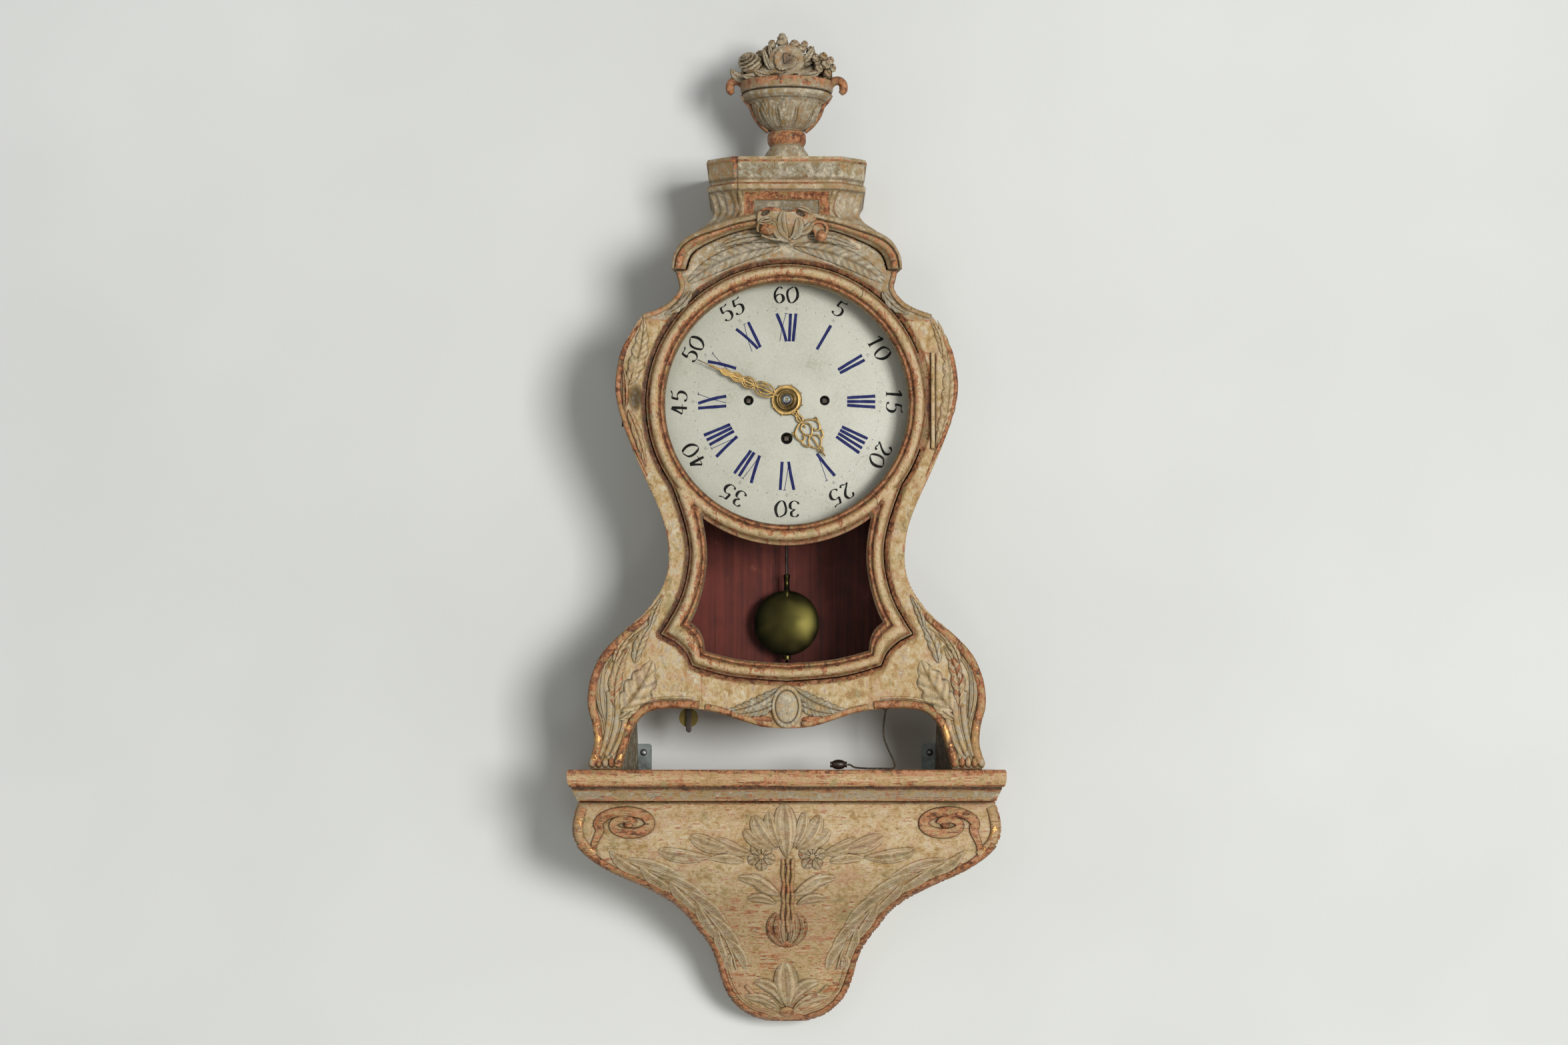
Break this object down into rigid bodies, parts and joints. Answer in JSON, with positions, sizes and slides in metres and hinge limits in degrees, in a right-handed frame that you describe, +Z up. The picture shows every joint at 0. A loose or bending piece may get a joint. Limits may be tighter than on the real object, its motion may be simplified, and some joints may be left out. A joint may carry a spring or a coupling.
{
  "type": "cartel clock",
  "caption": "Waisted cartel clock with carved painted wood case, urn finial, round enamel dial, pendulum window and matching wall bracket.",
  "frame": {"origin": "a point on the rear face of the bracket's back board, on the centre line and 80 mm below the top of the shelf", "axes": "+Y into the wall, +Z up, the clock faces -Y"},
  "size_m": [0.437, 0.185, 1.0161],
  "materials": {
    "painted_wood": "old cream paint over red bole, scraped",
    "carved_wood": "rubbed gilding and bole on carving",
    "grey_painted_wood": "grey-green paint remains",
    "red_painted_wood": "matt red-brown paint",
    "bare_wood": "plain softwood",
    "brass": "aged brass",
    "gilt_brass": "gilt",
    "steel": "bright steel",
    "iron": "dark wrought iron",
    "enamel": "white enamel on copper",
    "glass": "clear",
    "cord": "twisted cord",
    "dark_wood": "polished dark wood"
  },
  "bodies": {
    "case": {"bracket_shelf": "painted_wood", "bracket_shield": "painted_wood", "bracket_rim": "bare_wood", "bracket_back": "bare_wood", "wall_plate_left": "steel", "wall_plate_right": "steel", "front_stile_left": "painted_wood", "front_stile_right": "painted_wood", "front_apron": "painted_wood", "front_crest": "painted_wood", "case_side_left": "grey_painted_wood", "case_side_right": "grey_painted_wood", "case_back": "red_painted_wood", "case_floor": "bare_wood", "crown_roof": "painted_wood", "cap": "painted_wood", "urn": "carved_wood", "urn_flowers": "carved_wood", "cresting": "carved_wood", "apron_shell": "carved_wood", "seat_board": "bare_wood", "hinge_case_leaf": "brass", "hinge_pin": "steel", "dial": "enamel", "front_plate": "brass", "back_plate": "brass", "back_cock": "brass", "bell": "brass", "bell_stand": "steel", "pulley_fork": "iron", "repeat_cord": "cord", "cord_toggle": "dark_wood"},
    "door": {"door_frame": "painted_wood", "dial_glass": "glass", "pendulum_glass": "glass", "hinge_door_leaf": "brass", "latch_keeper": "brass"},
    "latch": {"door_latch": "iron"},
    "minute_hand_set": {"minute_hand": "gilt_brass", "cannon_pinion": "steel", "hand_nut": "steel"},
    "hour_hand_set": {"hour_hand": "gilt_brass", "hour_wheel": "brass"},
    "minute_wheel_set": {"minute_wheel": "brass"},
    "going_barrel_set": {"going_barrel": "brass", "going_spring": "steel"},
    "strike_barrel_set": {"strike_barrel": "brass"},
    "chime_barrel_set": {"chime_barrel": "brass"},
    "going_winder": {"going_arbor": "steel"},
    "strike_winder": {"strike_arbor": "steel"},
    "chime_winder": {"chime_arbor": "steel"},
    "centre_set": {"centre_wheel": "brass"},
    "third_set": {"third_wheel": "brass"},
    "escape_set": {"escape_wheel": "brass"},
    "pallet_set": {"pallets": "steel"},
    "pendulum": {"pendulum_rod": "steel", "pendulum_bob": "brass"},
    "regulator": {"rating_nut": "brass"},
    "hammer": {"strike_hammer": "steel"},
    "pulley": {"pulley_wheel": "brass"}
  },
  "joints": [
    {"name": "door_hinge", "type": "hinge", "parent": "case", "child": "door", "pos_m": [0.147, -0.1625, 0.4505], "axis": [0, 0, 1], "range_deg": [0, 100]},
    {"name": "latch_turn", "type": "hinge", "parent": "case", "child": "latch", "pos_m": [-0.158, -0.126, 0.431], "axis": [1, 0, 0], "range_deg": [0, 90]},
    {"name": "minute_turn", "type": "hinge", "parent": "case", "child": "minute_hand_set", "pos_m": [0, -0.1409, 0.4535], "axis": [0, 1, 0], "continuous": true},
    {"name": "hour_turn", "type": "hinge", "parent": "case", "child": "hour_hand_set", "pos_m": [0, -0.1369, 0.4535], "axis": [0, 1, 0], "continuous": true},
    {"name": "minute_wheel_turn", "type": "hinge", "parent": "case", "child": "minute_wheel_set", "pos_m": [0.01697, -0.1059, 0.47047], "axis": [0, 1, 0], "continuous": true},
    {"name": "third_turn", "type": "hinge", "parent": "case", "child": "third_set", "pos_m": [0, -0.08, 0.48155], "axis": [0, 1, 0], "continuous": true},
    {"name": "centre_turn", "type": "hinge", "parent": "case", "child": "centre_set", "pos_m": [0, -0.08, 0.4535], "axis": [0, 1, 0], "continuous": true},
    {"name": "going_barrel_turn", "type": "hinge", "parent": "case", "child": "going_barrel_set", "pos_m": [0, -0.085, 0.415], "axis": [0, 1, 0], "continuous": true},
    {"name": "escape_turn", "type": "hinge", "parent": "case", "child": "escape_set", "pos_m": [0, -0.08, 0.503], "axis": [0, 1, 0], "continuous": true},
    {"name": "going_winding", "type": "hinge", "parent": "case", "child": "going_winder", "pos_m": [0, -0.1059, 0.415], "axis": [0, 1, 0], "continuous": true},
    {"name": "strike_winding", "type": "hinge", "parent": "case", "child": "strike_winder", "pos_m": [-0.0385, -0.1059, 0.4535], "axis": [0, 1, 0], "continuous": true},
    {"name": "chime_winding", "type": "hinge", "parent": "case", "child": "chime_winder", "pos_m": [0.0385, -0.1059, 0.4535], "axis": [0, 1, 0], "continuous": true},
    {"name": "strike_barrel_turn", "type": "hinge", "parent": "case", "child": "strike_barrel_set", "pos_m": [-0.0385, -0.08, 0.4535], "axis": [0, 1, 0], "continuous": true},
    {"name": "chime_barrel_turn", "type": "hinge", "parent": "case", "child": "chime_barrel_set", "pos_m": [0.0385, -0.08, 0.4535], "axis": [0, 1, 0], "continuous": true},
    {"name": "pendulum_swing", "type": "hinge", "parent": "case", "child": "pendulum", "pos_m": [0, -0.04, 0.5228], "axis": [0, 1, 0], "range_deg": [-4, 4]},
    {"name": "pallet_rock", "type": "hinge", "parent": "case", "child": "pallet_set", "pos_m": [0, -0.04, 0.5228], "axis": [0, 1, 0], "range_deg": [-4, 4]},
    {"name": "rating_turn", "type": "hinge", "parent": "pendulum", "child": "regulator", "pos_m": [0, -0.04, 0.196], "axis": [0, 0, 1], "continuous": true},
    {"name": "hammer_lift", "type": "hinge", "parent": "case", "child": "hammer", "pos_m": [0.048, -0.08, 0.512], "axis": [0, 1, 0], "range_deg": [0, 12], "stiffness_Nm_per_rad": 0.02, "springref_deg": -6.88},
    {"name": "pulley_turn", "type": "hinge", "parent": "case", "child": "pulley", "pos_m": [-0.1, -0.085, 0.133], "axis": [0, 1, 0], "continuous": true}
  ],
  "couplings": [
    {"joint": "hour_turn", "follows": "minute_turn", "ratio": 0.083333},
    {"joint": "minute_wheel_turn", "follows": "minute_turn", "ratio": -0.33333},
    {"joint": "centre_turn", "follows": "third_turn", "ratio": -0.1},
    {"joint": "going_barrel_turn", "follows": "third_turn", "ratio": 0.0125},
    {"joint": "escape_turn", "follows": "third_turn", "ratio": -10},
    {"joint": "pallet_rock", "follows": "pendulum_swing", "ratio": 1}
  ]
}
